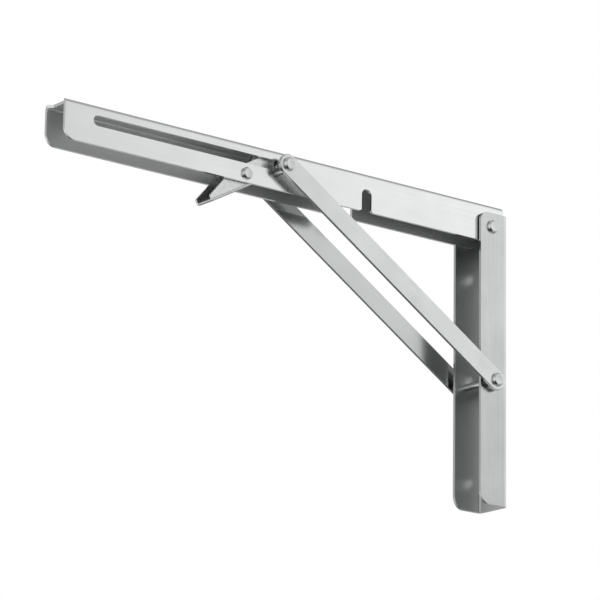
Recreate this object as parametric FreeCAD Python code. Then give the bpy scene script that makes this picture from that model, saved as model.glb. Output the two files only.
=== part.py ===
import FreeCAD, Part
import math
import os

# Folding bracket for a wall shelf, in millimetres.
# X points out from the wall, Y runs across the bracket and Z is up. The origin is the centre of
# the row of wall screws, on the face that lies against the wall. "right" is the +Y side.

# Wall rail: a U channel whose web lies on the wall
rail_height = 180.0
rail_depth = 21.5
rail_width = 25.2
rail_sheet = 1.8
rail_bend = 1.0             # inner radius of the two long bends
rail_top_radius = 5.5       # front corner of each flange, at the top
rail_foot_radius = 7.5      # front corner of each flange, at the bottom
wall_hole_count = 3
wall_hole_diameter = 6.0
top_to_first_hole = 33.0
foot_to_last_hole = 20.0

# Shelf arm: an inverted U channel that nests between the rail's flanges
arm_reach = 323.0           # wall to the free end
arm_height = 23.4
arm_sheet = 1.8
arm_bend = 1.0
arm_above_rail = 5.8        # the arm's top stands this far above the rail's top
arm_wall_gap = 1.5          # the arm's wall end stays this far off the wall
arm_tail_step = 0.8         # air between the rail's web and the arm's tail above it
arm_tail_chamfer = 1.2
arm_corner_radius = 7.0
web_relief_depth = 2.8      # the web's free end is cut back between the flanges
web_relief_slant = 2.4
shelf_hole_count = 3
shelf_hole_diameter = 5.5
wall_to_first_shelf_hole = 50.0
end_to_last_shelf_hole = 53.0

# Linkage
pivot_from_wall = 12.3      # both fixed pivots lie this far from the wall
arm_pivot_below_rail_top = 8.7
pivot_spacing = 96.0        # arm pivot down to the strut's lower pivot
strut_length = 189.0        # lower pivot to slide pin
slot_below_arm_top = 9.1
slot_height = 6.2
slot_inner_margin = 0.35    # play at the slot's inner end, where the pin stops
slot_outer_margin = 3.6     # spare slot past the pin when the bracket is folded
notch_width = 7.4
notch_rise = 1.1            # centre of the notch's round top above the line of the pivots
notch_lead = 1.6            # rounded mouth of the notch

# Strut bars
bar_width = 12.4
bar_thickness = 2.0
bar_edge_chamfer = 0.3      # broken edge round a bar's outer face

# Pins, heads and washers
arm_pin_diameter = 5.0
strut_pin_diameter = 3.6
slide_pin_diameter = 5.6
lever_pin_diameter = 4.0
head_diameter = 8.2
small_head_diameter = 7.2
head_edge = 0.5             # straight edge at the foot of a head
head_height = 2.0
head_top_ratio = 0.68       # the flat top of a head, as a share of its width
inner_head_diameter = 9.2
inner_head_thickness = 0.55
arm_washer_thickness = 0.7
arm_washer_diameter = 9.0
bar_washer_thickness = 2.3
bar_washer_diameter = 9.6
slide_spacer_diameter = 8.4
arm_sleeve_wall = 1.5
strut_sleeve_wall = 0.4
lever_spacer_diameter = 6.6

# Release lever: a small U pressing whose web is its lower edge
lever_from_wall = 197.0
lever_below_rail_top = 12.5
lever_sheet = 1.5
lever_bend = 0.5
lever_slope = 29.0          # degrees that the tail falls, seen from the wall outwards
lever_band = 12.8           # width of the lever's body across its slope
lever_web_drop = 7.3        # pivot down to the web's outer face, across the slope
lever_tail = 28.6           # pivot to the tail's tip, along the slope
lever_tip_width = 4.2
lever_tip_radius = 1.2      # corners of the tip and of the nose
lever_back_radius = 2.5     # the softer corners between them
lever_shoulder = 5.2        # pivot to the point where the back turns down, along the slope
lever_nose_reach = 16.9     # pivot to the nose's end face, along the arm
lever_nose_top = 1.0        # nose's top above the rail's top
lever_nose_drop = 10.0      # height of the nose's end face
lever_side_gap = 0.7        # flange of the arm to the lever's cheek

# Return spring on the lever's pin
spring_wire = 0.8
spring_wire_sides = 8       # the round wire is drawn with this many flat sides
spring_turns = 3
spring_pitch_ratio = 1.12   # coil pitch, in wire diameters
spring_coil_radius = 3.0    # to the wire's centre
spring_up_lean = 25.0       # degrees that the upper leg leans towards the wall
spring_down_lean = 7.0      # degrees between the lower leg and the lever's web

# Clearances
turn_clearance = 0.05       # between a pin and the hole that turns on it
fixed_clearance = 0.01      # between a pin and the hole that it is set in
face_clearance = 0.05       # between flat faces that slide past each other
open_pivot_gap = 0.25       # between the strut's heads and the slide pins
leg_clearance = 0.1         # between a spring leg and the sheet that it bears on
overcut = 1.0               # how far a punch or drill runs past the sheet on each side

# Places worked out from the driving dimensions
wall_hole_run = rail_height - top_to_first_hole - foot_to_last_hole
wall_hole_pitch = wall_hole_run / (wall_hole_count - 1)
shelf_hole_run = arm_reach - wall_to_first_shelf_hole - end_to_last_shelf_hole
shelf_hole_pitch = shelf_hole_run / (shelf_hole_count - 1)
rail_top = top_to_first_hole + wall_hole_run / 2
rail_bottom = rail_top - rail_height
rail_half = rail_width / 2
rail_inner = rail_half - rail_sheet
arm_half = rail_inner - arm_washer_thickness - 2 * face_clearance
arm_inner = arm_half - arm_sheet
arm_top = rail_top + arm_above_rail
arm_bottom = arm_top - arm_height
bar_inner = rail_half + bar_washer_thickness + 2 * face_clearance
bar_outer = bar_inner + bar_thickness
lever_half = arm_inner - lever_side_gap
lever_inner = lever_half - lever_sheet

arm_pivot = FreeCAD.Vector(pivot_from_wall, 0, rail_top - arm_pivot_below_rail_top)
strut_pivot = arm_pivot - FreeCAD.Vector(0, 0, pivot_spacing)
slot_z = arm_top - slot_below_arm_top
slot_offset = slot_z - arm_pivot.z
slide_open = math.sqrt(strut_length ** 2 - (pivot_spacing + slot_offset) ** 2)
slide_folded = pivot_spacing + math.sqrt(strut_length ** 2 - slot_offset ** 2)
slide_pivot = FreeCAD.Vector(pivot_from_wall + slide_open, 0, slot_z)
lever_pivot = FreeCAD.Vector(lever_from_wall, 0, rail_top - lever_below_rail_top)

ACROSS = FreeCAD.Vector(0, 1, 0)
SIDES = {"right": 1, "left": -1}


def vec(x, y, z):
    return FreeCAD.Vector(x, y, z)


def disc(centre, radius, y_low, y_high):
    """A cylinder across the bracket, from y_low to y_high."""
    base = vec(centre.x, y_low, centre.z)
    return Part.makeCylinder(radius, y_high - y_low, base, ACROSS)


def ring(centre, outer, inner, y_low, y_high):
    """A washer or sleeve across the bracket."""
    bore = disc(centre, inner, y_low - overcut, y_high + overcut)
    return disc(centre, outer, y_low, y_high).cut(bore)


def drill(body, centre, radius):
    """The body with one hole bored right across the bracket."""
    return body.cut(disc(centre, radius, -rail_width, rail_width))


def side_plate(outline, y_low, y_high):
    """A closed outline in the XZ plane, thickened across the bracket."""
    face = Part.Face(outline)
    face.translate(vec(0, y_low, 0))
    return face.extrude(vec(0, y_high - y_low, 0))


def rounded_outline(corners):
    """A closed outline in the XZ plane from (x, z, radius) corners, each rounded by its radius."""
    edges = []
    count = len(corners)
    starts = []
    ends = []
    middles = []
    for i in range(count):
        x, z, radius = corners[i]
        here = vec(x, 0, z)
        before = vec(corners[i - 1][0], 0, corners[i - 1][1]) - here
        after = vec(corners[(i + 1) % count][0], 0, corners[(i + 1) % count][1]) - here
        before.normalize()
        after.normalize()
        half = before.getAngle(after) / 2
        reach = radius / math.tan(half)
        starts.append(here + before * reach)
        ends.append(here + after * reach)
        bisector = before + after
        bisector.normalize()
        middles.append(here + bisector * (radius / math.sin(half) - radius))
    for i in range(count):
        if corners[i][2] > 0:
            edges.append(Part.Arc(starts[i], middles[i], ends[i]).toShape())
        following = starts[(i + 1) % count]
        if (following - ends[i]).Length > 1e-6:
            edges.append(Part.LineSegment(ends[i], following).toShape())
    return Part.Wire(edges)


def stadium(x_low, x_high, z, width):
    """A closed slot outline along X with round ends, whose end centres are x_low and x_high."""
    r = width / 2
    top = Part.LineSegment(vec(x_low, 0, z + r), vec(x_high, 0, z + r)).toShape()
    far = Part.Arc(vec(x_high, 0, z + r), vec(x_high + r, 0, z), vec(x_high, 0, z - r)).toShape()
    low = Part.LineSegment(vec(x_high, 0, z - r), vec(x_low, 0, z - r)).toShape()
    near = Part.Arc(vec(x_low, 0, z - r), vec(x_low - r, 0, z), vec(x_low, 0, z + r)).toShape()
    return Part.Wire([top, far, low, near])


def channel_section(half_width, depth, sheet, bend):
    """Cross-section of a U channel in (across, depth), web at depth 0 and open at full depth.

    Given as a closed list of (across, depth, radius) corners."""
    inner = half_width - sheet
    return [(-half_width, 0, bend + sheet), (half_width, 0, bend + sheet), (half_width, depth, 0),
            (inner, depth, 0), (inner, sheet, bend), (-inner, sheet, bend), (-inner, depth, 0),
            (-half_width, depth, 0)]


def section_face(corners, to_point):
    """A flat face from (across, depth, radius) corners, each placed by to_point(across, depth)."""
    wire = rounded_outline(corners)
    matrix = FreeCAD.Matrix()
    origin = to_point(0, 0)
    across = to_point(1, 0) - origin
    depth = to_point(0, 1) - origin
    normal = depth.cross(across)
    matrix.A11, matrix.A21, matrix.A31 = across.x, across.y, across.z
    matrix.A12, matrix.A22, matrix.A32 = normal.x, normal.y, normal.z
    matrix.A13, matrix.A23, matrix.A33 = depth.x, depth.y, depth.z
    matrix.A14, matrix.A24, matrix.A34 = origin.x, origin.y, origin.z
    return Part.Face(wire.transformShape(matrix))


def rivet_head(centre, diameter, y_face, side):
    """A rivet's head on a face at y_face: a short straight edge, a taper and a flat top."""
    outwards = ACROSS * side
    foot = vec(centre.x, y_face, centre.z)
    edge = Part.makeCylinder(diameter / 2, head_edge, foot, outwards)
    taper = Part.makeCone(diameter / 2, diameter * head_top_ratio / 2, head_height - head_edge,
                          foot + outwards * head_edge, outwards)
    return edge.fuse(taper).removeSplitter()


def through_rivet(centre, diameter, head, y_face):
    """A rivet across the whole bracket, with a head on each side at y_face."""
    rivet = disc(centre, diameter / 2, -y_face, y_face)
    for side in SIDES.values():
        rivet = rivet.fuse(rivet_head(centre, head, side * y_face, side))
    return rivet.removeSplitter()


def wall_rail():
    """The U channel that is screwed to the wall."""
    section = channel_section(rail_half, rail_depth, rail_sheet, rail_bend)
    face = section_face(section, lambda a, d: vec(d, a, rail_bottom))
    body = face.extrude(vec(0, 0, rail_height))
    outline = rounded_outline([(0, rail_bottom, 0), (rail_depth, rail_bottom, rail_foot_radius),
                               (rail_depth, rail_top, rail_top_radius), (0, rail_top, 0)])
    body = body.common(side_plate(outline, -rail_half, rail_half))
    body = drill(body, arm_pivot, arm_pin_diameter / 2 + fixed_clearance)
    body = drill(body, strut_pivot, strut_pin_diameter / 2 + fixed_clearance)
    for i in range(wall_hole_count):
        z = rail_top - top_to_first_hole - i * wall_hole_pitch
        hole = Part.makeCylinder(wall_hole_diameter / 2, rail_sheet + 2 * overcut,
                                 vec(-overcut, 0, z), vec(1, 0, 0))
        body = body.cut(hole)
    return body


def notch_cutter():
    """The open notch in the arm's lower edge that passes over the strut's lower pin."""
    x = pivot_from_wall + pivot_spacing
    r = notch_width / 2
    top = arm_pivot.z + notch_rise
    low = arm_bottom
    lead = notch_lead
    lift = low + lead
    turn = lead * math.sqrt(0.5)
    edges = [
        Part.LineSegment(vec(x - r, 0, lift), vec(x - r, 0, top)).toShape(),
        Part.Arc(vec(x - r, 0, top), vec(x, 0, top + r), vec(x + r, 0, top)).toShape(),
        Part.LineSegment(vec(x + r, 0, top), vec(x + r, 0, lift)).toShape(),
        Part.Arc(vec(x + r, 0, lift), vec(x + r + lead - turn, 0, lift - turn),
                 vec(x + r + lead, 0, low)).toShape(),
        Part.LineSegment(vec(x + r + lead, 0, low), vec(x - r - lead, 0, low)).toShape(),
        Part.Arc(vec(x - r - lead, 0, low), vec(x - r - lead + turn, 0, lift - turn),
                 vec(x - r, 0, lift)).toShape(),
    ]
    return side_plate(Part.Wire(edges), -rail_width, rail_width)


def arm_outline():
    """Side view of the arm: round lower corner outside, round lobe about the pivot at the wall."""
    lobe = arm_pivot.z - arm_bottom
    tail_z = rail_top + arm_tail_step
    back = arm_pivot.x - lobe
    corners = [(arm_wall_gap, arm_top - arm_tail_chamfer, 0),
               (arm_wall_gap + arm_tail_chamfer, arm_top, 0),
               (arm_reach, arm_top, 0),
               (arm_reach, arm_bottom, arm_corner_radius),
               (back, arm_bottom, lobe),
               (back, tail_z, 0),
               (arm_wall_gap, tail_z, 0)]
    return rounded_outline(corners)


def arm_channel():
    """The inverted U channel that carries the shelf."""
    section = channel_section(arm_half, arm_height, arm_sheet, arm_bend)
    face = section_face(section, lambda a, d: vec(0, a, arm_top - d))
    body = face.extrude(vec(arm_reach, 0, 0))
    body = body.common(side_plate(arm_outline(), -arm_half, arm_half))
    slot = stadium(slide_pivot.x - slot_inner_margin,
                   pivot_from_wall + slide_folded + slot_outer_margin, slot_z, slot_height)
    body = body.cut(side_plate(slot, -rail_width, rail_width))
    body = body.cut(notch_cutter())
    body = drill(body, arm_pivot, arm_pin_diameter / 2 + turn_clearance)
    body = drill(body, lever_pivot, lever_pin_diameter / 2 + fixed_clearance)
    above = arm_top + overcut
    for i in range(shelf_hole_count):
        x = wall_to_first_shelf_hole + i * shelf_hole_pitch
        hole = Part.makeCylinder(shelf_hole_diameter / 2, arm_sheet + 2 * overcut,
                                 vec(x, 0, above), vec(0, 0, -1))
        body = body.cut(hole)
    mouth = arm_inner
    past = arm_reach + overcut
    cut_back = arm_reach - web_relief_depth
    relief = Part.makePolygon([
        vec(past, -mouth, above),
        vec(arm_reach, -mouth, above),
        vec(cut_back, -mouth + web_relief_slant, above),
        vec(cut_back, mouth - web_relief_slant, above),
        vec(arm_reach, mouth, above),
        vec(past, mouth, above),
        vec(past, -mouth, above)])
    return body.cut(Part.Face(relief).extrude(vec(0, 0, -arm_sheet - arm_bend - overcut)))


def strut_bar(side):
    """One flat bar of the strut, with round ends about its two holes."""
    run = slide_pivot - strut_pivot
    along = vec(run.x, 0, run.z)
    along.normalize()
    up = vec(-along.z, 0, along.x)
    r = bar_width / 2
    a = vec(strut_pivot.x, 0, strut_pivot.z)
    b = vec(slide_pivot.x, 0, slide_pivot.z)
    edges = [
        Part.LineSegment(a + up * r, b + up * r).toShape(),
        Part.Arc(b + up * r, b + along * r, b - up * r).toShape(),
        Part.LineSegment(b - up * r, a - up * r).toShape(),
        Part.Arc(a - up * r, a - along * r, a + up * r).toShape(),
    ]
    low = bar_inner if side > 0 else -bar_outer
    bar = side_plate(Part.Wire(edges), low, low + bar_thickness)
    outer_edges = [e for e in bar.Edges if abs(abs(e.CenterOfMass.y) - bar_outer) < 1e-6]
    bar = bar.makeChamfer(bar_edge_chamfer, outer_edges)
    bar = drill(bar, strut_pivot, strut_pin_diameter / 2 + turn_clearance)
    return drill(bar, slide_pivot, slide_pin_diameter / 2 + fixed_clearance)


def lever_point(along, over):
    """A point of the lever: along its sloping tail, and over it, both from its pivot."""
    slope = math.radians(lever_slope)
    return (lever_pivot.x + along * math.cos(slope) + over * math.sin(slope),
            lever_pivot.z - along * math.sin(slope) + over * math.cos(slope))


def lever_outline():
    """Side view of the lever: tail, back with its shoulder, crest, blunt nose and lower edge."""
    slope = math.radians(lever_slope)
    low = -lever_web_drop
    high = lever_band - lever_web_drop
    nose_x = lever_pivot.x - lever_nose_reach
    nose_z = rail_top + lever_nose_top
    foot_z = nose_z - lever_nose_drop
    tip = lever_point(lever_tail, low)
    tip_back = lever_point(lever_tail, low + lever_tip_width)
    shoulder = lever_point(lever_shoulder, high)
    crest_along = (high * math.cos(slope) - (nose_z - lever_pivot.z)) / math.sin(slope)
    crest = lever_point(crest_along, high)
    foot_along = (low * math.cos(slope) - (foot_z - lever_pivot.z)) / math.sin(slope)
    foot = lever_point(foot_along, low)
    return [(tip[0], tip[1], lever_tip_radius), (tip_back[0], tip_back[1], lever_tip_radius),
            (shoulder[0], shoulder[1], lever_back_radius), (crest[0], crest[1], lever_back_radius),
            (nose_x, nose_z, lever_tip_radius), (nose_x, foot_z, lever_tip_radius),
            (foot[0], foot[1], lever_back_radius)]


def release_lever():
    """The pressed U lever: two cheeks, a web along the lower edge and a nose that rises in the slot."""
    slope = math.radians(lever_slope)
    along = vec(math.cos(slope), 0, -math.sin(slope))
    over = vec(math.sin(slope), 0, math.cos(slope))
    room = lever_tail + lever_nose_reach + lever_band
    start = lever_pivot - along * room - over * lever_web_drop
    section = channel_section(lever_half, room, lever_sheet, lever_bend)
    face = section_face(section, lambda a, d: start + ACROSS * a + over * d)
    body = face.extrude(along * (2 * room))
    body = body.common(side_plate(rounded_outline(lever_outline()), -lever_half, lever_half))
    return drill(body, lever_pivot, lever_pin_diameter / 2 + turn_clearance)


def coil_end(angle, y):
    """A point of the spring's coil, at an angle round the lever's pin."""
    a = math.radians(angle)
    return lever_pivot + vec(spring_coil_radius * math.cos(a), y, spring_coil_radius * math.sin(a))


def lever_spring():
    """Torsion spring in one sweep: a leg up under the arm, the coil, a leg down along the lever."""
    up_angle = 180 + spring_up_lean
    down_angle = 270 - lever_slope - spring_down_lean
    turns = spring_turns + (down_angle - up_angle) / 360
    pitch = spring_wire * spring_pitch_ratio
    half_height = pitch * turns / 2
    helix = Part.makeHelix(pitch, 2 * half_height, spring_coil_radius)
    helix.translate(vec(0, 0, -half_height))
    helix.rotate(vec(0, 0, 0), vec(1, 0, 0), 90)
    helix.rotate(vec(0, 0, 0), ACROSS, -up_angle)
    helix.translate(lever_pivot)
    room = spring_wire / 2 + leg_clearance
    up_lean = math.radians(spring_up_lean)
    down_lean = math.radians(spring_down_lean)
    start = coil_end(up_angle, half_height)
    rise = arm_top - arm_sheet - room - start.z
    up_tip = start + vec(-rise * math.tan(up_lean), 0, rise)
    end = coil_end(down_angle, -half_height)
    drop = lever_web_drop - lever_sheet - room - spring_coil_radius * math.cos(down_lean)
    fall = math.radians(lever_slope) + down_lean
    run = drop / math.sin(down_lean)
    down_tip = end + vec(run * math.cos(fall), 0, -run * math.sin(fall))
    up_leg = Part.LineSegment(up_tip, start).toShape()
    down_leg = Part.LineSegment(end, down_tip).toShape()
    path = Part.Wire([up_leg] + helix.Edges + [down_leg])
    lengthwise = start - up_tip
    lengthwise.normalize()
    outwards = lengthwise.cross(ACROSS)
    rim = []
    for i in range(spring_wire_sides + 1):
        turn = 2 * math.pi * (i + 0.5) / spring_wire_sides
        rim.append(up_tip + (ACROSS * math.cos(turn) + outwards * math.sin(turn)) * (spring_wire / 2))
    return path.makePipeShell([Part.makePolygon(rim)], True, False)


def build():
    """Every piece of the bracket, by name."""
    pieces = {
        "wall_rail": wall_rail(),
        "arm_channel": arm_channel(),
        "arm_pivot_rivet": through_rivet(arm_pivot, arm_pin_diameter, head_diameter, rail_half),
        "arm_pivot_sleeve": ring(arm_pivot, arm_pin_diameter / 2 + arm_sleeve_wall,
                                 arm_pin_diameter / 2 + fixed_clearance,
                                 -arm_inner + face_clearance, arm_inner - face_clearance),
        "strut_pivot_rivet": through_rivet(strut_pivot, strut_pin_diameter, head_diameter,
                                           bar_outer + face_clearance),
        "strut_pivot_sleeve": ring(strut_pivot, strut_pin_diameter / 2 + strut_sleeve_wall,
                                   strut_pin_diameter / 2 + fixed_clearance,
                                   -rail_inner + face_clearance, rail_inner - face_clearance),
        "lever_rivet": through_rivet(lever_pivot, lever_pin_diameter, small_head_diameter, arm_half),
        "release_lever": release_lever(),
        "lever_spring": lever_spring(),
    }
    for name, side in SIDES.items():
        pieces["strut_bar_" + name] = strut_bar(side)
        pieces["arm_pivot_washer_" + name] = ring(
            arm_pivot, arm_washer_diameter / 2, arm_pin_diameter / 2 + fixed_clearance,
            *sorted([side * (arm_half + face_clearance), side * (rail_inner - face_clearance)]))
        pieces["strut_pivot_washer_" + name] = ring(
            strut_pivot, bar_washer_diameter / 2, strut_pin_diameter / 2 + fixed_clearance,
            *sorted([side * (rail_half + face_clearance), side * (bar_inner - face_clearance)]))
        head = rivet_head(slide_pivot, head_diameter, side * bar_outer, side)
        shank = disc(slide_pivot, slide_pin_diameter / 2, *sorted([side * bar_inner, side * bar_outer]))
        pieces["strut_head_rivet_" + name] = head.fuse(shank).removeSplitter()
        seat = side * (arm_half + face_clearance)
        end = side * (bar_inner - open_pivot_gap)
        pieces["slide_spacer_" + name] = ring(slide_pivot, slide_spacer_diameter / 2,
                                              slide_pin_diameter / 2 + fixed_clearance,
                                              *sorted([seat, end]))
        inside = side * (arm_inner - face_clearance)
        inner = inside - side * inner_head_thickness
        pin = disc(slide_pivot, slide_pin_diameter / 2, *sorted([inside, end]))
        collar = disc(slide_pivot, inner_head_diameter / 2, *sorted([inner, inside]))
        pieces["slide_rivet_" + name] = pin.fuse(collar).removeSplitter()
        pieces["lever_spacer_" + name] = ring(
            lever_pivot, lever_spacer_diameter / 2, lever_pin_diameter / 2 + fixed_clearance,
            *sorted([side * (lever_half + face_clearance), side * (arm_inner - face_clearance)]))
    return pieces


os.makedirs("parts", exist_ok=True)
for node, shape in build().items():
    solids = shape.Solids
    print(node, "solids", len(solids), "valid", shape.isValid(), "volume", round(shape.Volume, 1))
    solids[0].exportStep("parts/" + node + ".step")
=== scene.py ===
import math

import bmesh
import bpy
import numpy as np
from mathutils import Matrix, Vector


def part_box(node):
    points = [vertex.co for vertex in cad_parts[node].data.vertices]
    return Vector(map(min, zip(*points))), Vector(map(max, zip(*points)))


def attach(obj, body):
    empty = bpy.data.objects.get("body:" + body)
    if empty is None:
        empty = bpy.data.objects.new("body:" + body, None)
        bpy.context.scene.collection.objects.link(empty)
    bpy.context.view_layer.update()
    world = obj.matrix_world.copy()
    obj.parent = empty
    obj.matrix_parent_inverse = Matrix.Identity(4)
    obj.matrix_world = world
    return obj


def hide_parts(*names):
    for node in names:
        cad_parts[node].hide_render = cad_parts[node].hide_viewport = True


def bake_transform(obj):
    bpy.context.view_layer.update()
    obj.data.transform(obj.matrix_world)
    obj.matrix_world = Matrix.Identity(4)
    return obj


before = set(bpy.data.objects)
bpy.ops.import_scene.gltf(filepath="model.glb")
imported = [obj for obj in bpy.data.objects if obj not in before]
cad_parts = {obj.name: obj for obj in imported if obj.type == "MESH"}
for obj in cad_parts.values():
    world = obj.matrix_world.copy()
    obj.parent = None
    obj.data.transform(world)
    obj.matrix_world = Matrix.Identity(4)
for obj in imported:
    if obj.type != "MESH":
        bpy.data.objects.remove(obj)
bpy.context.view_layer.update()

# Wall rail. A channel bent from 1.8 mm stainless sheet and screwed to the wall through its web.
# Its outer faces were brushed along their length and its inner ones left as the mill rolled them;
# tumbling has rounded the edges that the shears left.
MM = 0.001
SHEET = 1.8 * MM
SHEET_EDGE = 0.28 * MM
EDGE_STEPS = 3
SHARP_ANGLE = math.radians(24)
FLAT_ANGLE = math.radians(0.4)
FLAT_FACE_WEIGHT = 100              # how far the large faces set the shading of their rounded edges
WELD = 0.002 * MM
RAIL_TONES = ("#C5C6C6", "#BABBBB")
RAIL_MILL = "#CCCDCD"
NOISE_LOW, NOISE_HIGH = 0.3, 0.7    # most of a noise texture's values lie between these
MIX_A, MIX_B, MIXED = 6, 7, 2       # a Mix node's sockets for its two colours and its result


def linear(hex_colour):
    """An sRGB hex colour as linear RGBA."""
    parts = [int(hex_colour[i:i + 2], 16) / 255 for i in (1, 3, 5)]
    return [c / 12.92 if c <= 0.04045 else ((c + 0.055) / 1.055) ** 2.4 for c in parts] + [1]


def in_scene(name, data):
    """A new object in the scene that shows the given mesh, lamp or camera."""
    thing = bpy.data.objects.new(name, data)
    bpy.context.scene.collection.objects.link(thing)
    return thing


def add(tree, kind, inputs=None, settings=None):
    """Adds a node to a tree: its settings, then each input from a value or another node's output."""
    node = tree.nodes.new(kind)
    for name, value in (settings or {}).items():
        setattr(node, name, value)
    for name, value in (inputs or {}).items():
        if isinstance(value, bpy.types.NodeSocket):
            tree.links.new(value, node.inputs[name])
        else:
            node.inputs[name].default_value = value
    return node


def bare_steel(name):
    """A new metal material, its node tree and its shader."""
    material = bpy.data.materials.new(name)
    material.use_nodes = True
    tree = material.node_tree
    shader = tree.nodes["Principled BSDF"]
    shader.inputs["Metallic"].default_value = 1.0
    return material, tree, shader


def satin_stainless(name, tones, grain_angle, roughness, mill_tone, mill_roughness, opening):
    """Stainless sheet, brushed outside and left with its mill finish inside.

    Outside the eye gets a calm bright grey with faint streaks along the grain, and a slow
    cloudiness where the belt pressed unevenly. Inside it gets a duller grey with soft
    reflections. Real scratches are about 0.05 mm wide; they are drawn 0.5 mm wide, because finer
    ones would not show. The inside is where |y| is under the opening's half width and the
    distance along its direction is past its floor: opening is (half width, direction, floor)."""
    grain_length = 60 * MM
    grain_width = 0.5 * MM
    scratch_depth = 0.0025 * MM
    cloud_size = 22 * MM
    unevenness = 0.04
    material, tree, shader = bare_steel(name)
    place = add(tree, "ShaderNodeTexCoord").outputs["Object"]
    along = add(tree, "ShaderNodeMapping", {
        "Vector": place,
        "Rotation": (0, grain_angle, 0),
        "Scale": (grain_length, grain_width, grain_width),
    }, {"vector_type": "TEXTURE"}).outputs["Vector"]
    around = add(tree, "ShaderNodeMapping", {
        "Vector": place,
        "Scale": (cloud_size, cloud_size, cloud_size),
    }, {"vector_type": "TEXTURE"}).outputs["Vector"]
    grain = add(tree, "ShaderNodeTexNoise", {
        "Vector": along, "Scale": 1.0, "Detail": 3.0, "Roughness": 0.6}).outputs["Fac"]
    cloud = add(tree, "ShaderNodeTexNoise", {
        "Vector": around, "Scale": 1.0, "Detail": 2.0, "Roughness": 0.5}).outputs["Fac"]
    both = add(tree, "ShaderNodeMath", {0: grain, 1: cloud}, {"operation": "ADD"}).outputs[0]
    half_width, direction, floor = opening
    sideways = add(tree, "ShaderNodeSeparateXYZ", {"Vector": place}).outputs["Y"]
    off_middle = add(tree, "ShaderNodeMath", {0: sideways}, {"operation": "ABSOLUTE"}).outputs[0]
    between = add(tree, "ShaderNodeMath", {0: off_middle, 1: half_width}, {"operation": "LESS_THAN"})
    deep = add(tree, "ShaderNodeVectorMath", {0: place, 1: direction}, {"operation": "DOT_PRODUCT"})
    past = add(tree, "ShaderNodeMath", {0: deep.outputs["Value"], 1: floor}, {
        "operation": "GREATER_THAN"})
    inside = add(tree, "ShaderNodeMath", {0: between.outputs[0], 1: past.outputs[0]}, {
        "operation": "MULTIPLY"}).outputs[0]
    shade = add(tree, "ShaderNodeMapRange", {
        "Value": both, "From Min": 2 * NOISE_LOW, "From Max": 2 * NOISE_HIGH}).outputs["Result"]
    brushed = add(tree, "ShaderNodeMix", {
        "Factor": shade, MIX_A: linear(tones[0]), MIX_B: linear(tones[1])}, {"data_type": "RGBA"})
    tone = add(tree, "ShaderNodeMix", {
        "Factor": inside, MIX_A: brushed.outputs[MIXED], MIX_B: linear(mill_tone)}, {
        "data_type": "RGBA"})
    dull = add(tree, "ShaderNodeMapRange", {
        "Value": inside, "To Min": roughness - unevenness,
        "To Max": mill_roughness - unevenness}).outputs["Result"]
    uneven = add(tree, "ShaderNodeMapRange", {
        "Value": both, "From Min": 2 * NOISE_LOW, "From Max": 2 * NOISE_HIGH,
        "To Min": 0.0, "To Max": 2 * unevenness}).outputs["Result"]
    sheen = add(tree, "ShaderNodeMath", {0: dull, 1: uneven}, {"operation": "ADD"}).outputs[0]
    bump = add(tree, "ShaderNodeBump", {
        "Height": grain, "Strength": 0.5, "Distance": scratch_depth}).outputs["Normal"]
    tree.links.new(tone.outputs[MIXED], shader.inputs["Base Color"])
    tree.links.new(sheen, shader.inputs["Roughness"])
    tree.links.new(bump, shader.inputs["Normal"])
    return material


def deburred(node, body, material, edge=SHEET_EDGE):
    """The solid of a sheet piece with its cut edges rounded to the radius that tumbling leaves.

    A copy of its facets is welded and the flat ones joined, and a mesh is made of their points
    and faces alone, without the solid's own normals. Every edge of it sharper than SHARP_ANGLE
    then becomes an arc, which starts at the given distance on each side of the edge."""
    work = bmesh.new()
    work.from_mesh(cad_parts[node].data)
    bmesh.ops.remove_doubles(work, verts=work.verts, dist=WELD)
    bmesh.ops.dissolve_limit(work, angle_limit=FLAT_ANGLE, verts=work.verts, edges=work.edges)
    points = [v.co[:] for v in work.verts]
    work.verts.index_update()
    faces = [[v.index for v in face.verts] for face in work.faces]
    work.free()
    mesh = bpy.data.meshes.new(node + "_deburred")
    mesh.from_pydata(points, [], faces)
    mesh.shade_smooth()
    piece = in_scene(mesh.name, mesh)
    bevel = piece.modifiers.new("rounded edges", "BEVEL")
    bevel.width = edge
    bevel.segments = EDGE_STEPS
    bevel.limit_method = "ANGLE"
    bevel.angle_limit = SHARP_ANGLE
    flat = piece.modifiers.new("flat faces", "WEIGHTED_NORMAL")
    flat.weight = FLAT_FACE_WEIGHT
    mesh.materials.append(material)
    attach(piece, body)
    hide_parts(node)


UPRIGHT = math.radians(90)
SKIN = 0.05 * MM                    # the opening reaches this far into the sheet round it
rail_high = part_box("wall_rail")[1]
rail_opening = (rail_high.y - SHEET + SKIN, (1, 0, 0), SHEET - SKIN)
rail_steel = satin_stainless("brushed stainless, upright grain", RAIL_TONES, UPRIGHT, roughness=0.19,
                             mill_tone=RAIL_MILL, mill_roughness=0.32, opening=rail_opening)
deburred("wall_rail", "rail", rail_steel)

# Shelf arm. An inverted channel of the same sheet, slotted and notched in a press before it was
# bent. It carries the shelf on its web and nests in the rail when it is folded.
ARM_TONES = ("#E0E1E1", "#D9DADA")
ARM_MILL = "#D8D9D9"
LEVEL = 0.0
arm_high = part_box("arm_channel")[1]
arm_opening = (arm_high.y - SHEET + SKIN, (0, 0, -1), -(arm_high.z - SHEET + SKIN))
arm_steel = satin_stainless("brushed stainless, level grain", ARM_TONES, LEVEL, roughness=0.17,
                            mill_tone=ARM_MILL, mill_roughness=0.50, opening=arm_opening)
deburred("arm_channel", "arm", arm_steel)

# Release lever. A small channel pressed from 1.5 mm sheet, then tumbled: no grain, soft edges.
# Its nose stands between the arm's two slots and its tail hangs under the arm for a finger.
LEVER_TONES = ("#DEDFDF", "#D6D7D7")
LEVER_EDGE = 0.32 * MM


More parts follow.
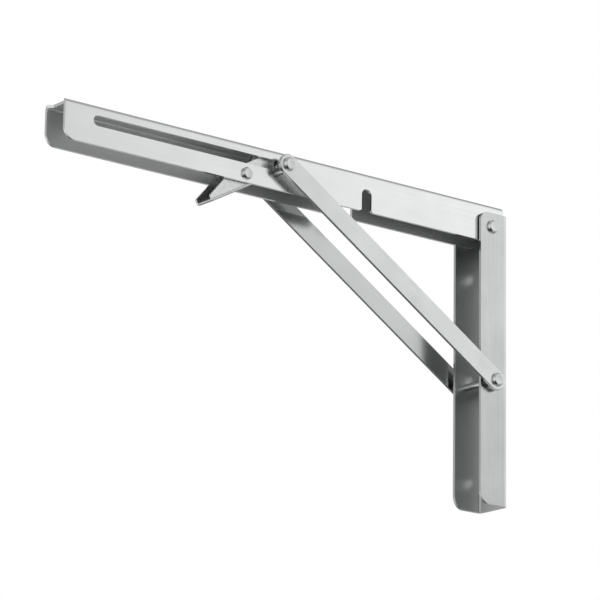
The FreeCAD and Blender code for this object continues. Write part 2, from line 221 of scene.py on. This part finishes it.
def tumbled_stainless(name, tones, roughness):
    """Stainless that was tumbled with stones: no grain, a soft peened skin under 2 mm across.

    The eye gets an even, slightly pebbly satin that is a little duller than the belt finish."""
    pebble = 1.7 * MM
    dent_depth = 0.003 * MM
    unevenness = 0.03
    material, tree, shader = bare_steel(name)
    place = add(tree, "ShaderNodeTexCoord").outputs["Object"]
    cells = add(tree, "ShaderNodeMapping", {
        "Vector": place, "Scale": (pebble, pebble, pebble)}, {"vector_type": "TEXTURE"}).outputs["Vector"]
    skin = add(tree, "ShaderNodeTexNoise", {
        "Vector": cells, "Scale": 1.0, "Detail": 1.5, "Roughness": 0.5}).outputs["Fac"]
    tone = add(tree, "ShaderNodeMix", {
        "Factor": skin, MIX_A: linear(tones[0]), MIX_B: linear(tones[1])}, {"data_type": "RGBA"})
    sheen = add(tree, "ShaderNodeMapRange", {
        "Value": skin, "From Min": NOISE_LOW, "From Max": NOISE_HIGH,
        "To Min": roughness - unevenness, "To Max": roughness + unevenness}).outputs["Result"]
    bump = add(tree, "ShaderNodeBump", {
        "Height": skin, "Strength": 0.2, "Distance": dent_depth}).outputs["Normal"]
    tree.links.new(tone.outputs[MIXED], shader.inputs["Base Color"])
    tree.links.new(sheen, shader.inputs["Roughness"])
    tree.links.new(bump, shader.inputs["Normal"])
    return material


lever_steel = tumbled_stainless("tumbled stainless", LEVER_TONES, roughness=0.28)
deburred("release_lever", "lever", lever_steel, edge=LEVER_EDGE)

# Lever's rivet and washers. Turned from stainless wire and closed cold over the sheet: each head
# is a low cone with a flat, slightly dished top. A thin washer lies on each side of the lever.
RIVET_TONES = ("#DADBDB", "#B9BABB")
TURN_STEPS = 96
EASE_STEPS = 4
HEAD_EDGE = 0.9 * MM                # height of the straight rim at a head's foot
HEAD_HEIGHT = 2.0 * MM
HEAD_TOP_SHARE = 0.76               # the flat top's share of a head's width
HEAD_EASING = 0.16 * MM
DISH_EASING = 0.4 * MM
SEAT_EASING = 0.05 * MM             # at a head's seat, and where a head or a collar meets its shank
LEVER_PIN_RADIUS = 2.0 * MM


def turned_stainless(name, tones, roughness, centre):
    """Turned stainless: rings about the pin's own axis, every 0.25 mm where the tool fed in.

    The eye gets a bright face with a faint target pattern, and light that turns round it."""
    feed = 0.25 * MM
    ring_depth = 0.006 * MM
    unevenness = 0.04
    material, tree, shader = bare_steel(name)
    place = add(tree, "ShaderNodeTexCoord").outputs["Object"]
    about_pin = add(tree, "ShaderNodeMapping", {
        "Vector": place, "Location": centre}, {"vector_type": "TEXTURE"}).outputs["Vector"]
    parts = add(tree, "ShaderNodeSeparateXYZ", {"Vector": about_pin})
    across = add(tree, "ShaderNodeCombineXYZ", {"X": parts.outputs["X"], "Z": parts.outputs["Z"]})
    radius = add(tree, "ShaderNodeVectorMath", {0: across.outputs[0]}, {"operation": "LENGTH"})
    run = add(tree, "ShaderNodeMath", {0: radius.outputs["Value"], 1: parts.outputs["Y"]})
    turns = add(tree, "ShaderNodeMath", {0: run.outputs[0], 1: feed}, {"operation": "DIVIDE"})
    rings = add(tree, "ShaderNodeTexNoise", {
        "W": turns.outputs[0], "Scale": 1.0, "Detail": 1.0}, {"noise_dimensions": "1D"}).outputs["Fac"]
    tone = add(tree, "ShaderNodeMix", {
        "Factor": rings, MIX_A: linear(tones[0]), MIX_B: linear(tones[1])}, {"data_type": "RGBA"})
    sheen = add(tree, "ShaderNodeMapRange", {
        "Value": rings, "From Min": NOISE_LOW, "From Max": NOISE_HIGH,
        "To Min": roughness - unevenness, "To Max": roughness + unevenness}).outputs["Result"]
    bump = add(tree, "ShaderNodeBump", {
        "Height": rings, "Strength": 0.5, "Distance": ring_depth}).outputs["Normal"]
    tree.links.new(tone.outputs[MIXED], shader.inputs["Base Color"])
    tree.links.new(sheen, shader.inputs["Roughness"])
    tree.links.new(bump, shader.inputs["Normal"])
    return material


def round_size(node):
    """A round piece's middle, its radius and half its length along Y, from its solid's box."""
    low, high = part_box(node)
    return (low + high) / 2, (high.x - low.x) / 2, (high.y - low.y) / 2


def eased(corners):
    """A profile of (radius, y, easing) corners with each corner turned by a small arc.

    The arc is the quadratic curve from easing before the corner to easing after it, with the
    corner as its middle control point. Corners with no easing stay as they are."""
    corner = np.array(corners, float)
    place, easing = corner[:, :2], corner[:, 2]
    t = np.linspace(0, 1, EASE_STEPS + 1)[:, None]
    out = []
    for i, (here, ease) in enumerate(zip(place, easing)):
        if ease == 0:
            out.append(here[None])
            continue
        before = place[i - 1] - here
        after = place[(i + 1) % len(place)] - here
        start = here + before / np.linalg.norm(before) * ease
        end = here + after / np.linalg.norm(after) * ease
        out.append((1 - t) ** 2 * start + 2 * t * (1 - t) * here + t ** 2 * end)
    return np.concatenate(out)


def turned(name, centre, profile, closed, body, material, nodes):
    """A turned piece: the point at angle a and station s is the centre, plus profile radius r(s)
    along (cos a, sin a) in the XZ plane, plus profile height y(s) along Y.

    A closed profile makes a ring; an open one starts and ends on the axis, at a pole."""
    angle = np.linspace(0, 2 * math.pi, TURN_STEPS, endpoint=False)
    inner = profile if closed else profile[1:-1]
    radius, height = inner[:, 0], inner[:, 1]
    x = centre[0] + radius[:, None] * np.cos(angle)
    y = centre[1] + np.repeat(height[:, None], TURN_STEPS, axis=1)
    z = centre[2] + radius[:, None] * np.sin(angle)
    points = np.stack([x, y, z], axis=-1).reshape(-1, 3)
    rows = len(inner)
    lower = np.arange(rows if closed else rows - 1)[:, None] * TURN_STEPS
    upper = (lower + TURN_STEPS) % (rows * TURN_STEPS)
    here = np.arange(TURN_STEPS)
    there = (here + 1) % TURN_STEPS
    quads = np.stack([lower + here, lower + there, upper + there, upper + here], axis=-1)
    faces = quads.reshape(-1, 4).tolist()
    if not closed:
        poles = np.tile(np.array(centre, float), (2, 1))
        poles[:, 1] += profile[[0, -1], 1]
        first = np.full(TURN_STEPS, len(points))
        end = (rows - 1) * TURN_STEPS
        points = np.concatenate([points, poles])
        faces += np.stack([first, there, here], axis=-1).tolist()
        faces += np.stack([first + 1, end + here, end + there], axis=-1).tolist()
    mesh = bpy.data.meshes.new(name)
    mesh.from_pydata(points, [], faces)
    work = bmesh.new()
    work.from_mesh(mesh)
    bmesh.ops.recalc_face_normals(work, faces=work.faces)
    work.to_mesh(mesh)
    work.free()
    mesh.shade_smooth()
    piece = in_scene(name, mesh)
    flat = piece.modifiers.new("flat faces", "WEIGHTED_NORMAL")
    flat.weight = FLAT_FACE_WEIGHT
    mesh.materials.append(material)
    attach(piece, body)
    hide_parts(*nodes)


def head_profile(outer, seat, side):
    """Half of a head's profile from its pole down to its seat, as (radius, y, easing) corners.

    side is 1 for a head that faces +Y and -1 for one that faces -Y. The flat top is dished: deepest
    at its middle and still 0.6 of that at 0.55 of its radius."""
    top = outer * HEAD_TOP_SHARE
    dish = 0.10 * MM
    high = seat + side * HEAD_HEIGHT
    edge = seat + side * HEAD_EDGE
    return [(0, high - side * dish, 0), (top * 0.55, high - side * dish * 0.6, DISH_EASING),
            (top, high, HEAD_EASING), (outer, edge, HEAD_EASING), (outer, seat, SEAT_EASING)]


def through_rivet(node, body, pin_radius):
    """A rivet right across the bracket: a head, its shank and the other head."""
    name = node + "_turned"
    centre, outer, end = round_size(node)
    seat = end - HEAD_HEIGHT
    near = head_profile(outer, seat, 1) + [(pin_radius, seat, SEAT_EASING)]
    far = head_profile(outer, -seat, -1) + [(pin_radius, -seat, SEAT_EASING)]
    profile = eased(near + far[::-1])
    steel = turned_stainless("turned stainless, " + name, RIVET_TONES, roughness=0.22, centre=centre)
    turned(name, centre, profile, False, body, steel, [node])


def ring_piece(node, body, pin_radius, roughness=0.26):
    """A ring on a pin: a rectangle of the ring's wall, with eased corners, turned about the pin.

    The rim's easing is 0.18 mm, but at most 0.4 of half the ring's height and 0.3 of its wall. The
    bore's is half of that."""
    fit = 0.01 * MM
    easing = 0.18 * MM
    centre, outer, half = round_size(node)
    bore = pin_radius + fit
    ease = min(easing, half * 0.4, (outer - bore) * 0.3)
    profile = eased([(outer, half, ease), (outer, -half, ease),
                     (bore, -half, ease / 2), (bore, half, ease / 2)])
    steel = turned_stainless("turned stainless, " + node, RIVET_TONES, roughness, centre)
    turned(node + "_turned", centre, profile, True, body, steel, [node])


through_rivet("lever_rivet", "arm", LEVER_PIN_RADIUS)
ring_piece("lever_spacer_left", "arm", LEVER_PIN_RADIUS)
ring_piece("lever_spacer_right", "arm", LEVER_PIN_RADIUS)

# Return spring. Hard-drawn 0.8 mm wire wound three turns round the lever's pin, with one leg up
# against the arm's web and one down along the lever, so that the lever's nose springs back up.
WIRE = 0.8 * MM
WIRE_SIDES = 16
COIL_RADIUS = 3.0 * MM
COIL_TURNS = 3
COIL_STATIONS = 40                  # for each of COIL_TURNS
LEG_STATIONS = 8
COIL_PITCH = 1.12 * WIRE
UP_LEAN = math.radians(25)
DOWN_LEAN = math.radians(7)
LEVER_SLOPE = math.radians(29)
LEVER_SHEET = 1.5 * MM
LEVER_WEB_DROP = 7.3 * MM           # from the pin's axis to the web's outer face
LEG_ROOM = 0.1 * MM
SPRING_TONES = ("#8E8F90", "#6E6F70")


def spring_wire(name, tones, roughness):
    """Hard-drawn stainless spring wire: die lines along the wire, read from the sweep's own UV.

    The eye gets a darker, oily grey than the sheet, streaked along the wire."""
    lines_a_side = 14
    line_depth = 0.005 * MM
    material, tree, shader = bare_steel(name)
    along = add(tree, "ShaderNodeUVMap", settings={"uv_map": "along"}).outputs["UV"]
    stretched = add(tree, "ShaderNodeMapping", {
        "Vector": along, "Scale": (1, lines_a_side, 1)}).outputs["Vector"]
    lines = add(tree, "ShaderNodeTexNoise", {
        "Vector": stretched, "Scale": 1.0, "Detail": 2.0}, {"noise_dimensions": "2D"}).outputs["Fac"]
    tone = add(tree, "ShaderNodeMix", {
        "Factor": lines, MIX_A: linear(tones[0]), MIX_B: linear(tones[1])}, {"data_type": "RGBA"})
    bump = add(tree, "ShaderNodeBump", {
        "Height": lines, "Strength": 0.4, "Distance": line_depth}).outputs["Normal"]
    tree.links.new(tone.outputs[MIXED], shader.inputs["Base Color"])
    tree.links.new(bump, shader.inputs["Normal"])
    shader.inputs["Roughness"].default_value = roughness
    return material


def spring_path():
    """The wire's centre line: up leg, coil and down leg.

    The coil's point at angle a is the pin's axis plus the coil radius along (cos a, sin a) in the
    XZ plane, while y falls by one pitch a turn. The legs leave its two ends on their tangents."""
    pin = round_size("lever_rivet")[0]
    arm_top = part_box("arm_channel")[1].z
    start = math.pi + UP_LEAN
    end = math.pi * 1.5 - LEVER_SLOPE - DOWN_LEAN
    turns = COIL_TURNS + (end - start) / (2 * math.pi)
    angle = np.linspace(start, start + 2 * math.pi * turns, COIL_STATIONS * COIL_TURNS)
    share = (angle - start) / (angle[-1] - start)
    coil = np.stack([pin.x + COIL_RADIUS * np.cos(angle),
                     COIL_PITCH * turns * (0.5 - share),
                     pin.z + COIL_RADIUS * np.sin(angle)], axis=-1)
    room = WIRE / 2 + LEG_ROOM
    rise = arm_top - SHEET - room - coil[0, 2]
    up_tip = coil[0] + np.array([-rise * math.tan(UP_LEAN), 0, rise])
    fall = LEVER_SLOPE + DOWN_LEAN
    drop = LEVER_WEB_DROP - LEVER_SHEET - room - COIL_RADIUS * math.cos(DOWN_LEAN)
    run = drop / math.sin(DOWN_LEAN)
    down_tip = coil[-1] + np.array([run * math.cos(fall), 0, -run * math.sin(fall)])
    t = np.linspace(0, 1, LEG_STATIONS)[:-1, None]
    up_leg = up_tip + t * (coil[0] - up_tip)
    down_leg = down_tip + t * (coil[-1] - down_tip)
    return np.concatenate([up_leg, coil, down_leg[::-1]])


def swept_wire(name, path, radius):
    """A round wire: the point at station s and angle a is path(s), plus the radius along
    cos a times the sideways direction and sin a times its normal, with a closed cap at each end.

    Its UV holds the millimetres along the wire, and how far round it the point lies, from 1 at
    one side to 0 at the other and back."""
    tangent = np.gradient(path, axis=0)
    tangent /= np.linalg.norm(tangent, axis=1, keepdims=True)
    across = np.tile([0.0, 1.0, 0.0], (len(path), 1))
    side = across - (across * tangent).sum(axis=1, keepdims=True) * tangent
    side /= np.linalg.norm(side, axis=1, keepdims=True)
    normal = np.cross(tangent, side)
    angle = np.linspace(0, 2 * math.pi, WIRE_SIDES, endpoint=False)
    ring = side[:, None] * np.cos(angle)[:, None] + normal[:, None] * np.sin(angle)[:, None]
    points = (path[:, None] + radius * ring).reshape(-1, 3)
    lower = np.arange(len(path) - 1)[:, None] * WIRE_SIDES
    upper = lower + WIRE_SIDES
    here = np.arange(WIRE_SIDES)
    there = (here + 1) % WIRE_SIDES
    quads = np.stack([lower + here, lower + there, upper + there, upper + here], axis=-1)
    faces = quads.reshape(-1, 4).tolist()
    first = np.full(WIRE_SIDES, len(points))
    last = (len(path) - 1) * WIRE_SIDES
    faces += np.stack([first, there, here], axis=-1).tolist()
    faces += np.stack([first + 1, last + here, last + there], axis=-1).tolist()
    mesh = bpy.data.meshes.new(name)
    mesh.from_pydata(np.concatenate([points, path[[0, -1]]]), [], faces)
    station = np.concatenate([[0], np.cumsum(np.linalg.norm(np.diff(path, axis=0), axis=1))]) / MM
    u = np.append(np.repeat(station, WIRE_SIDES), [station[0], station[-1]])
    v = np.append(np.tile(np.abs(here / WIRE_SIDES * 2 - 1), len(path)), [0, 0])
    corners = np.empty(len(mesh.loops), np.int32)
    mesh.loops.foreach_get("vertex_index", corners)
    mesh.uv_layers.new(name="along").data.foreach_set("uv", np.stack([u, v], axis=-1)[corners].ravel())
    mesh.shade_smooth()
    return mesh


wire_line = spring_path()
wire_mesh = swept_wire("lever_spring_wound", wire_line, WIRE / 2)
wire = in_scene(wire_mesh.name, wire_mesh)
wire_mesh.materials.append(spring_wire("hard-drawn spring wire", SPRING_TONES, roughness=0.32))
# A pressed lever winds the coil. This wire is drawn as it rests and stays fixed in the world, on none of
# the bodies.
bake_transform(wire)
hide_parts("lever_spring")

# Arm pivot, of turned stainless. A sleeve keeps the arm's flanges apart, a thin washer fills each
# gap to the rail, and one rivet runs through them all.
ARM_PIN_RADIUS = 2.5 * MM
ring_piece("arm_pivot_sleeve", "rail", ARM_PIN_RADIUS)
ring_piece("arm_pivot_washer_left", "rail", ARM_PIN_RADIUS)
ring_piece("arm_pivot_washer_right", "rail", ARM_PIN_RADIUS)
through_rivet("arm_pivot_rivet", "rail", ARM_PIN_RADIUS)

# Slide pins, of turned stainless. On each side a pin with a thin collar inside the arm runs in the
# slot, and carries a spacer that holds the strut's bar off the arm.
SLIDE_PIN_RADIUS = 2.8 * MM
PIN_EASING = 0.15 * MM
COLLAR = 0.55 * MM
COLLAR_EASING = 0.2 * MM

for side, facing in (("left", -1), ("right", 1)):
    node = "slide_rivet_" + side
    centre, outer, end = round_size(node)
    inside = -facing * end
    shoulder = inside + facing * COLLAR
    profile = eased([(0, inside, 0), (outer, inside, COLLAR_EASING), (outer, shoulder, COLLAR_EASING / 2),
                     (SLIDE_PIN_RADIUS, shoulder, SEAT_EASING), (SLIDE_PIN_RADIUS, -inside, PIN_EASING),
                     (0, -inside, 0)])
    steel = turned_stainless("turned stainless, " + node, RIVET_TONES, roughness=0.26, centre=centre)
    turned(node + "_turned", centre, profile, False, "slider", steel, [node])
    ring_piece("slide_spacer_" + side, "slider", SLIDE_PIN_RADIUS)

# Strut bars and their heads. Two flat bars sheared from 2 mm stainless strip, brushed along their
# outer faces, with a headed rivet closed over each bar's upper end.
BAR_TONES = ("#D0D1D1", "#C6C7C7")
BAR_MILL = "#C2C3C3"
NO_FLOOR = -1.0                     # a metre away, so that the opening takes in the whole inner face
lower_pin = round_size("strut_pivot_rivet")[0]
upper_pin = round_size("strut_head_rivet_right")[0]
bar_angle = -math.atan2(upper_pin.z - lower_pin.z, upper_pin.x - lower_pin.x)
bar_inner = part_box("strut_bar_right")[0].y
bar_opening = (bar_inner + SKIN, (1, 0, 0), NO_FLOOR)
bar_steel = satin_stainless("brushed stainless, grain along the bar", BAR_TONES, bar_angle, roughness=0.17,
                            mill_tone=BAR_MILL, mill_roughness=0.19, opening=bar_opening)

for side, facing in (("left", -1), ("right", 1)):
    deburred("strut_bar_" + side, "strut", bar_steel)
    node = "strut_head_rivet_" + side
    centre, outer, end = round_size(node)
    seat = facing * (end - HEAD_HEIGHT)
    foot = -facing * end
    shank = [(SLIDE_PIN_RADIUS, seat, SEAT_EASING), (SLIDE_PIN_RADIUS, foot, PIN_EASING), (0, foot, 0)]
    profile = eased(head_profile(outer, seat, facing) + shank)
    steel = turned_stainless("turned stainless, " + node, RIVET_TONES, roughness=0.22, centre=centre)
    turned(node + "_turned", centre, profile, False, "strut", steel, [node])

# Strut's lower pivot, of turned stainless. A thin pin right across the rail, with a polished
# sleeve on it between the flanges and a thick washer between the rail and each bar.
STRUT_PIN_RADIUS = 1.8 * MM
ring_piece("strut_pivot_sleeve", "rail", STRUT_PIN_RADIUS, roughness=0.12)
ring_piece("strut_pivot_washer_left", "rail", STRUT_PIN_RADIUS)
ring_piece("strut_pivot_washer_right", "rail", STRUT_PIN_RADIUS)
through_rivet("strut_pivot_rivet", "rail", STRUT_PIN_RADIUS)

# Floor, lights and camera. A pale matt floor well below under its own overhead lamp, a studio
# whose soft boxes are broad glows on the dark walls around, and a long lens that looks up at the
# bracket from under its arm, against white.
CAMERA_AZIMUTH = math.radians(142.09)
CAMERA_ELEVATION = math.radians(-15.40)
CAMERA_ROLL = math.radians(0.923)
CAMERA_AIM = np.array([154.76, 7.34, 17.11]) * MM
CAMERA_DISTANCE = 1964.8 * MM
LENS = 204.9
FILM_WIDTH = 36
FLOOR_Z = -2.6
FLOOR_RADIUS = 20.0
FLOOR_RINGS = 8
FLOOR_STEPS = 96
FLOOR_COLOUR = "#DDDCDA"
FLOOR_ROUGHNESS = 0.9
FLOOR_LAMP = 2.4
FLOOR_LAMP_SPREAD = math.radians(80)
BACKGROUND = 1.0
WALLS = 0.34
# Each glow is its direction, the degrees from it that have its full strength, the degrees where
# it ends, and its strength. A negative one is a black flag, which takes light away.
GLOWS = [
    ((-0.91, 0.40, 0.12), 5, 50, 1.07),      # main box, on the wall's side, for the near faces
    ((-0.36, 0.80, -0.48), 10, 38, 1.20),    # low box, for the insides of the channels
    ((0.60, 0.75, 0.25), 8, 40, 0.60),       # front box, above the camera
    ((0.95, -0.20, 0.10), 8, 45, 0.35),      # fill, beyond the arm's free end
    ((0.38, 0.42, -0.82), 12, 48, -0.30),    # flag, for the dark crescents of the heads
    ((0.00, -0.78, -0.62), 10, 38, -0.30),   # flag, for the bars' lower edges
    ((-0.70, 0.70, -0.20), 15, 27, -1.00),   # flag, for the rail's foot
    ((0.55, -0.75, -0.45), 8, 35, 0.35),     # low fill, on the far side
    ((0.85, 0.50, -0.15), 5, 30, 0.35),      # front fill, beside the camera
    ((0.00, -1.00, 0.05), 20, 60, 0.30),     # broad fill, on the far side
    ((0.00, 0.00, 1.00), 15, 45, 0.30),      # fill, from above
]


def placed(position, back, roll):
    """The matrix of a camera at a position, looking along minus back, turned by roll."""
    level = np.cross([0, 0, 1], back)
    level /= np.linalg.norm(level)
    rise = np.cross(back, level)
    c, s = math.cos(roll), math.sin(roll)
    matrix = np.eye(4)
    matrix[:3, 0] = c * level + s * rise
    matrix[:3, 1] = c * rise - s * level
    matrix[:3, 2] = back
    matrix[:3, 3] = position
    return Matrix(matrix.tolist())


def floor_disc():
    """The floor: the point at angle a and share s lies s squared of the radius from the middle."""
    angle = np.linspace(0, 2 * math.pi, FLOOR_STEPS, endpoint=False)
    radius = FLOOR_RADIUS * np.linspace(0, 1, FLOOR_RINGS + 1)[1:] ** 2
    x = radius[:, None] * np.cos(angle)
    y = radius[:, None] * np.sin(angle)
    rim = np.stack([x, y, np.full_like(x, FLOOR_Z)], axis=-1).reshape(-1, 3)
    points = np.concatenate([rim, [[0, 0, FLOOR_Z]]])
    here = np.arange(FLOOR_STEPS)
    there = (here + 1) % FLOOR_STEPS
    inner = np.arange(FLOOR_RINGS - 1)[:, None] * FLOOR_STEPS
    outer = inner + FLOOR_STEPS
    quads = np.stack([inner + here, outer + here, outer + there, inner + there], axis=-1)
    middle = np.full(FLOOR_STEPS, len(rim))
    fan = np.stack([middle, here, there], axis=-1)
    mesh = bpy.data.meshes.new("floor")
    mesh.from_pydata(points, [], quads.reshape(-1, 4).tolist() + fan.tolist())
    return mesh


floor = in_scene("floor", floor_disc())
matt = bpy.data.materials.new("pale matt floor")
matt.use_nodes = True
matt_shader = matt.node_tree.nodes["Principled BSDF"]
matt_shader.inputs["Base Color"].default_value = linear(FLOOR_COLOUR)
matt_shader.inputs["Roughness"].default_value = FLOOR_ROUGHNESS
floor.data.materials.append(matt)
floor.visible_glossy = False

lamp = bpy.data.lights.new("floor lamp", "SUN")
lamp.energy = FLOOR_LAMP
lamp.angle = FLOOR_LAMP_SPREAD
overhead = in_scene("floor lamp", lamp)
overhead.visible_glossy = False

studio = bpy.data.worlds.new("studio")
studio.use_nodes = True
bpy.context.scene.world = studio
tree = studio.node_tree
for default in list(tree.nodes):
    tree.nodes.remove(default)
towards = add(tree, "ShaderNodeTexCoord").outputs["Generated"]
light = WALLS
for direction, full, none, strength in GLOWS:
    heart = (np.array(direction) / np.linalg.norm(direction)).tolist()
    near = add(tree, "ShaderNodeVectorMath", {0: towards, 1: heart}, {"operation": "DOT_PRODUCT"})
    glow = add(tree, "ShaderNodeMapRange", {
        "Value": near.outputs["Value"],
        "From Min": math.cos(math.radians(none)), "From Max": math.cos(math.radians(full)),
        "To Min": 0.0, "To Max": strength}, {"interpolation_type": "SMOOTHSTEP"})
    light = add(tree, "ShaderNodeMath", {0: glow.outputs["Result"], 1: light}).outputs[0]
seen = add(tree, "ShaderNodeLightPath").outputs["Is Camera Ray"]
brightness = add(tree, "ShaderNodeMapRange", {
    "Value": seen, "To Min": light, "To Max": BACKGROUND}).outputs["Result"]
sky = add(tree, "ShaderNodeBackground", {"Color": linear("#FFFFFF"), "Strength": brightness})
add(tree, "ShaderNodeOutputWorld", {"Surface": sky.outputs[0]})

back = np.array([math.sin(CAMERA_AZIMUTH) * math.cos(CAMERA_ELEVATION),
                 -math.cos(CAMERA_AZIMUTH) * math.cos(CAMERA_ELEVATION), math.sin(CAMERA_ELEVATION)])
lens = bpy.data.cameras.new("long lens")
lens.lens = LENS
lens.sensor_width = FILM_WIDTH
camera = in_scene("camera", lens)
camera.matrix_world = placed(CAMERA_AIM + CAMERA_DISTANCE * back, back, CAMERA_ROLL)
bpy.context.scene.camera = camera
bpy.context.scene.view_settings.view_transform = "Standard"
